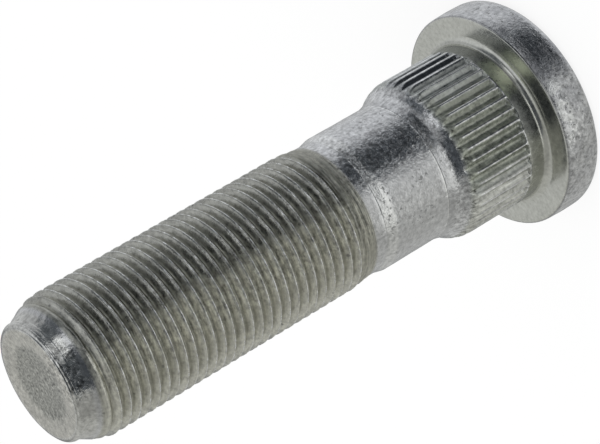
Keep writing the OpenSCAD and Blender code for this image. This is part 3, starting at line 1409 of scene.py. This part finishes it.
    def relief(self, spot: Spot, pits: Wire) -> Wire:
        """Height of the fine relief.

        Args:
            spot: The shaded point.
            pits: Mask of the small pits.

        Returns:
            The height, in millimetres.
        """
        on, noise, z, radius = spot.on, spot.noise, spot.z, spot.radius
        plain = 1.0 - on(Zone.SEAT)
        formed = on(Zone.THREAD).most(on(Zone.ROLLED))
        nose = z.ramp(78.5, 79.5)
        lumps = noise(1.2) * 0.06 + noise(4.0, 3.0) * 0.034
        lumps = lumps * (1.0 - nose * 0.4) + nose * noise(2.2, 3.0) * 0.02
        lumps = lumps * (1.0 - on(Zone.SMOOTH_SHOULDER) * 0.5)
        lumps = lumps + on(Zone.ROUGH_NECK, Side.ROUGH) * noise(4.0, 3.0) * 0.012
        grain = noise(9.0) * 0.005 + noise(3.0) * 0.014
        wear = formed * noise(1.7) * 0.03
        ring = z.ramp(22.68, 22.50) * 0.014 + z.ramp(22.46, 22.36) * 0.03
        marks = (z * (math.tau / self.turning_pitch)).sin()
        turning = on(Zone.TURNED) * marks * 0.05
        turned = z.ramp(33.05, 32.95) * 0.02 + z.ramp(31.9, 31.0) * 0.05
        rim_lean = on(Zone.RIM) * ((z - 4.5) / 1.3).clamp() * -0.3
        nose_lean = ((z - 80.7) / 0.8).clamp() * radius.ramp(7.6, 8.0) * -0.28
        fine = plain * (grain + wear) - pits * 0.05
        forged = plain * (1.0 - formed) * lumps
        return forged + fine + ring + turning + (rim_lean + nose_lean + turned)

    def tone(self, spot: Spot, cloud: Wire, grain: Wire) -> Wire:
        """What the colour is multiplied by, from broad clouds down to fine streaks.

        Args:
            spot: The shaded point.
            cloud: Broad noise.
            grain: Fine noise.

        Returns:
            The factor, around 1.
        """
        on, noise, thread = spot.on, spot.noise, spot.on(Zone.THREAD)
        streak = thread * noise(0.7, 3.0, 7.0) * (1.1 + on(Side.FRONT) * 1.2)
        rolled = on(Zone.SERRATED) * noise(2.4, 2.0, 0.1)
        streak = streak + rolled * (0.6 + on(Side.LOWER) * 0.9)
        salt = (self.dished(spot) + 0.25 * on(Zone.END)) * noise(3.0, 3.0) * 2.4
        broad = cloud * (0.3 - thread * 0.15)
        return 1.0 + broad + grain * self.mottling(spot) + streak + salt

    def material(self) -> bpy.types.Material:
        """Builds the material.

        Returns:
            The material.
        """
        made = bpy.data.materials.new(self.name)
        made.use_nodes = True
        sheet = NodeSheet(made.node_tree)
        spot = Spot(sheet)
        pits = self.pits(spot)
        colour: Value = self.clean.colour
        rough: Value = self.clean.rough
        for mask, look in self.masks(spot, pits):
            colour = sheet.mix(Blend.RGBA, mask, colour, look.colour)
            rough = sheet.mix(Blend.FLOAT, mask, rough, look.rough)
        cloud, grain = spot.noise(0.8, 3.0), spot.noise(1.8, 3.0)
        colour = sheet.scaled(colour, self.tone(spot, cloud, grain))
        rough = (rough * (1.0 + grain + cloud * 0.6)).clamp(*self.rough_limits)
        sockets = {"Strength": 1.0, "Distance": MM, "Height": self.relief(spot, pits)}
        bump = sheet.wire("ShaderNodeBump", sockets=sockets)
        sockets = {"Base Color": colour, "Metallic": 1.0, "Roughness": rough, "Normal": bump}
        shader = sheet.wire("ShaderNodeBsdfPrincipled", sockets=sockets)
        sheet.node("ShaderNodeOutputMaterial", sockets={"Surface": shader})
        return made


@dataclass
class WheelStud:
    """The whole stud, one forging."""

    places: Places
    finish: Zinc
    columns: int = 168
    joint_h: float = 0.5 * MM
    sharp: float = 80.0

    def body(self, material: bpy.types.Material) -> bpy.types.Mesh:
        """Joins every stretch into one closed mesh.

        Args:
            material: The stud's finish.

        Returns:
            The mesh, as true as if it were perfect.
        """
        shank = Shank(self.places)
        thread = Thread(self.places, self.columns)
        stem = Neck(shank, thread).outline()
        even, fine = even_angles(self.columns), even_angles(shank.columns)
        skin = Skin()
        slab = skin.rings(Head(self.places).outline(), even)
        skin.cap(slab[0], 0.0, upward=False)
        skin.bridge(slab[-1], skin.ring(shank.outline()[0], fine))
        skin.add(shank.rolled(material))
        last_fine = skin.ring(shank.outline()[-1], fine)
        first = skin.ring((stem[0][0], stem[0][1] + self.joint_h), even)
        skin.bridge(last_fine, first)
        skin.bridge(first, skin.rings(stem[1:], even)[0])
        skin.add(thread.rolled(material))
        Nose(self.places, thread).build(skin, even)
        return skin.welded("stud_body")

    def build(self) -> bpy.types.Object:
        """Makes the stud, dresses it and hands it to the frame.

        Returns:
            The stud.
        """
        material = self.finish.material()
        mesh = Forging().worn(self.body(material), material)
        mesh.materials.clear()
        mesh.materials.append(material)
        mesh.shade_smooth()
        mesh.set_sharp_from_angle(angle=math.radians(self.sharp))
        stud = linked("stud_body", mesh)
        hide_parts(NODE)
        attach(stud, BODY)
        log.info("%s: %d vertices", stud.name, len(mesh.vertices))
        return stud


@dataclass(frozen=True)
class Patch:
    """A soft-edged stretch of the studio's walls with a brightness of its own.

    Bearings run clockwise, seen from above, from the side on which the camera stands.
    """

    name: str
    bearing: Point
    elevation: Point
    soft: Point
    level: float


@dataclass
class Studio:
    """Floor, walls, lamp and camera."""

    camera_bearing: float = -89.4
    camera_height: float = 28.717
    camera_distance: float = 350.83 * MM
    camera_roll: float = -120.325
    aim: tuple[float, float, float] = (1.041 * MM, 0.011 * MM, 39.02 * MM)
    lens: float = 161.745
    sensor: float = 36.0
    clip: Point = (0.01, 10.0)
    floor_size: float = 3.0
    floor_glow: float = 0.85
    lamp_place: tuple[float, float, float] = (-0.25, -0.2, 0.7)
    lamp_size: float = 0.5
    lamp_power: float = 1.2
    wall_level: float = 0.62
    side_lift: float = 0.12
    shade_edge: Point = (0.0, 0.4)
    white: Colour = (1.0, 1.0, 1.0, 1.0)
    cloth: Colour = (0.9, 0.9, 0.9, 1.0)
    cool: Colour = (0.98, 1.0, 1.035, 1.0)
    warm: Colour = (0.995, 1.0, 0.965, 1.0)
    shade: Colour = (0.86, 0.98, 1.12, 1.0)
    patches: tuple[Patch, ...] = (
        Patch("left wall above the table", (-180, -88), (0, 20), (8, 5), 0.52),
        Patch("right wall", (52, 96), (-4, 70), (12, 4), 0.37),
        Patch("wall far behind the stud", (-180, -168), (-50, -5), (14, 5), 0.40),
        Patch("far wall on the other side", (166, 180), (-50, -5), (14, 5), 0.32),
        Patch("dark gap on the left", (-82, -50), (8, 50), (24, 8), 0.12),
        Patch("dark room behind the camera", (-33, 46), (4, 60), (7, 3), 0.07),
        Patch("grey gap beside the strip", (-33, -12), (6, 22), (5, 5), 0.36),
        Patch("strip light", (-46, -36), (8, 20), (4, 4), 0.52),
        Patch("strip light's top", (-49, -33), (25, 36), (5, 5), 1.10),
        Patch("table edge", (-56, -26), (-46, -1), (38, 3), 0.05),
        Patch("bright table", (2, 56), (-25, 1), (12, 2), 0.92),
    )

    def floor(self) -> None:
        """A plain pale floor that shows white and keeps a soft shadow."""
        mesh = bpy.data.meshes.new("floor")
        half = self.floor_size / 2
        corners = [(-half, -half, 0), (half, -half, 0), (half, half, 0), (-half, half, 0)]
        mesh.from_pydata(corners, [], [(0, 1, 2, 3)])
        floor = linked("floor", mesh)
        material = bpy.data.materials.new("pale_floor")
        material.use_nodes = True
        sheet = NodeSheet(material.node_tree)
        seen = sheet.wire("ShaderNodeLightPath", output="Is Camera Ray") * self.floor_glow
        cloth = sheet.wire("ShaderNodeBsdfDiffuse", sockets={"Color": self.cloth})
        glow = sheet.wire("ShaderNodeEmission", sockets={"Strength": 1.0})
        both = sheet.wire("ShaderNodeMixShader", sockets={0: seen, 1: cloth, 2: glow})
        sheet.node("ShaderNodeOutputMaterial", sockets={"Surface": both})
        mesh.materials.append(material)
        floor.visible_glossy = False

    def walls(self) -> None:
        """White for the camera, and for the metal pale walls with the room's dark gaps."""
        world = bpy.data.worlds.new("studio")
        bpy.context.scene.world = world
        world.use_nodes = True
        sheet = NodeSheet(world.node_tree)
        direction = sheet.wire("ShaderNodeTexCoord", output="Generated")
        turn = (0.0, 0.0, -math.radians(self.camera_bearing))
        turned = sheet.wire("ShaderNodeMapping", sockets={"Vector": direction, "Rotation": turn})
        x, y, z = sheet.split(turned)
        flat = (x * x + y * y).sqrt()
        bearing = (-y).atan2(x) * math.degrees(1.0)
        elevation = z.atan2(flat) * math.degrees(1.0)
        aside = y / flat.most(MM)
        level = self.wall_level + self.side_lift * aside
        for patch in self.patches:
            across = bearing.within(*patch.bearing, patch.soft[0])
            up = elevation.within(*patch.elevation, patch.soft[1])
            level = sheet.mix(Blend.FLOAT, across * up, level, patch.level)
        tint = sheet.mix(Blend.RGBA, aside * 0.5 + 0.5, self.warm, self.cool)
        tint = sheet.mix(Blend.RGBA, level.ramp(*self.shade_edge), self.shade, tint)
        glossy = sheet.wire("ShaderNodeLightPath", output="Is Glossy Ray")
        colour = sheet.mix(Blend.RGBA, glossy, self.white, tint)
        strength = sheet.mix(Blend.FLOAT, glossy, 1.0, level)
        sockets = {"Color": colour, "Strength": strength}
        back = sheet.wire("ShaderNodeBackground", sockets=sockets)
        sheet.node("ShaderNodeOutputWorld", sockets={"Surface": back})

    def lamp(self) -> None:
        """One large soft lamp overhead, which only gives the floor its shadow."""
        data = bpy.data.lights.new("overhead", "AREA")
        data.shape = "DISK"
        data.size = self.lamp_size
        data.energy = self.lamp_power
        lamp = linked("overhead", data)
        lamp.location = self.lamp_place
        lamp.rotation_euler = (-lamp.location).to_track_quat("-Z", "Y").to_euler()
        lamp.visible_glossy = False

    def camera(self) -> None:
        """The camera at the photograph's viewing angle."""
        data = bpy.data.cameras.new("camera")
        data.sensor_width = self.sensor
        data.lens = self.lens
        data.clip_start, data.clip_end = self.clip
        bearing, height = math.radians(self.camera_bearing), math.radians(self.camera_height)
        flat = math.cos(height)
        back = Vector((flat * math.cos(bearing), flat * math.sin(bearing), math.sin(height)))
        level = back.to_track_quat("Z", "Y").to_matrix().to_4x4()
        roll = Matrix.Rotation(math.radians(self.camera_roll), 4, "Z")
        stand = Vector(self.aim) + back * self.camera_distance
        camera = linked("camera", data)
        camera.matrix_world = Matrix.Translation(stand) @ level @ roll
        bpy.context.scene.camera = camera

    def build(self) -> None:
        """Sets up everything around the stud."""
        self.floor()
        self.walls()
        self.lamp()
        self.camera()
        bpy.context.scene.view_settings.view_transform = "Standard"


def main() -> None:
    """Builds the stud and its studio."""
    logging.basicConfig(level=logging.INFO, format="%(name)s: %(message)s")
    WheelStud(Places.read(), Zinc()).build()
    Studio().build()


if __name__ == "__main__":
    main()
